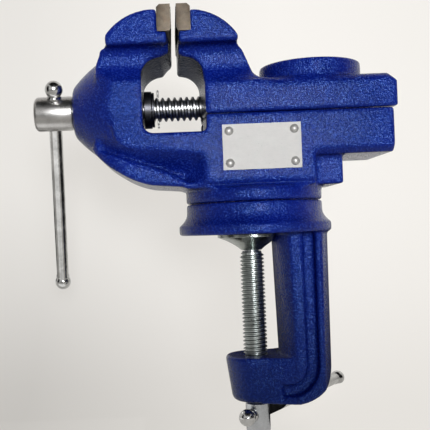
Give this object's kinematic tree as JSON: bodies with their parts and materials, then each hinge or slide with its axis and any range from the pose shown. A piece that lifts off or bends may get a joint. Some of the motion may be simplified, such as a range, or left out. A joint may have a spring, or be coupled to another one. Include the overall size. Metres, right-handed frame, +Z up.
{
  "type": "clamp-on swivel table vise",
  "caption": "Clamp-on swivel table vise: a sliding cast jaw on a rail with a lead screw, a round anvil behind it, and a C-frame with clamp screw and dished pad for a table edge.",
  "frame": {"origin": "where the swivel axis meets the underside of the round base plate, which rests on the table top", "axes": "+Z up along the swivel axis, +X along the lead screw from the fixed jaw towards the anvil, the nameplate faces -Y"},
  "size_m": [0.176, 0.1229, 0.2073],
  "materials": {
    "blue_casting": "blue hammered enamel on rough cast iron",
    "jaw_steel": "ground steel, slightly browned",
    "plate_metal": "satin, bare",
    "rivet_metal": "bright round heads",
    "plain_steel": "plain machined steel",
    "dark_steel": "blackened",
    "dark_screw": "plated head, oiled thread",
    "bar_chrome": "polished",
    "zinc_steel": "zinc plated"
  },
  "bodies": {
    "clamp_base": {"clamp_frame": "blue_casting"},
    "vise_body": {"vise_body_casting": "blue_casting", "pivot_bolt": "zinc_steel", "pivot_washer": "zinc_steel", "fixed_jaw_plate": "jaw_steel", "fixed_jaw_screw_near": "zinc_steel", "fixed_jaw_screw_far": "zinc_steel", "nameplate": "plate_metal", "nameplate_rivet_1": "rivet_metal", "nameplate_rivet_2": "rivet_metal", "nameplate_rivet_3": "rivet_metal", "nameplate_rivet_4": "rivet_metal"},
    "sliding_jaw": {"sliding_jaw_casting": "blue_casting", "sliding_jaw_plate": "jaw_steel", "sliding_jaw_screw_near": "zinc_steel", "sliding_jaw_screw_far": "zinc_steel", "lead_nut": "plain_steel", "keel_strip": "plain_steel", "keel_screw_1": "zinc_steel", "keel_screw_2": "zinc_steel"},
    "lead_screw": {"lead_screw": "dark_screw", "thrust_washer": "dark_steel", "retaining_washer": "zinc_steel", "split_pin": "zinc_steel"},
    "lead_handle": {"lead_bar": "bar_chrome", "lead_bar_ball_low": "bar_chrome", "lead_bar_ball_high": "bar_chrome"},
    "clamp_pad": {"clamp_pad": "zinc_steel"},
    "clamp_screw": {"clamp_screw": "zinc_steel"},
    "clamp_handle": {"clamp_bar": "bar_chrome", "clamp_bar_ball_low": "bar_chrome", "clamp_bar_ball_high": "bar_chrome"}
  },
  "joints": [
    {"name": "swivel", "type": "hinge", "parent": "clamp_base", "child": "vise_body", "pos_m": [0, 0, 0.0153], "axis": [0, 0, 1], "continuous": true},
    {"name": "lead_screw_spin", "type": "hinge", "parent": "vise_body", "child": "lead_screw", "pos_m": [0, 0, 0.0634], "axis": [1, 0, 0], "range_deg": [-5700, 240]},
    {"name": "jaw_slide", "type": "slide", "parent": "vise_body", "child": "sliding_jaw", "axis": [1, 0, 0], "range_m": [-0.002, 0.04751]},
    {"name": "lead_handle_slide", "type": "slide", "parent": "lead_screw", "child": "lead_handle", "axis": [0.0723, -0.5592, 0.8259], "range_m": [0, 0.09]},
    {"name": "clamp_slide", "type": "slide", "parent": "clamp_base", "child": "clamp_pad", "axis": [0, 0, 1], "range_m": [-0.04801, 0]},
    {"name": "clamp_screw_spin", "type": "hinge", "parent": "clamp_pad", "child": "clamp_screw", "pos_m": [-0.002, 0, -0.05], "axis": [0, 0, 1], "range_deg": [-9874, 0]},
    {"name": "clamp_handle_slide", "type": "slide", "parent": "clamp_screw", "child": "clamp_handle", "axis": [0.5736, 0.8192, 0], "range_m": [-0.086, 0]}
  ],
  "couplings": [
    {"joint": "jaw_slide", "follows": "lead_screw_spin", "m_per_rad": -0.00047746},
    {"joint": "clamp_slide", "follows": "clamp_screw_spin", "m_per_rad": 0.00027852}
  ]
}
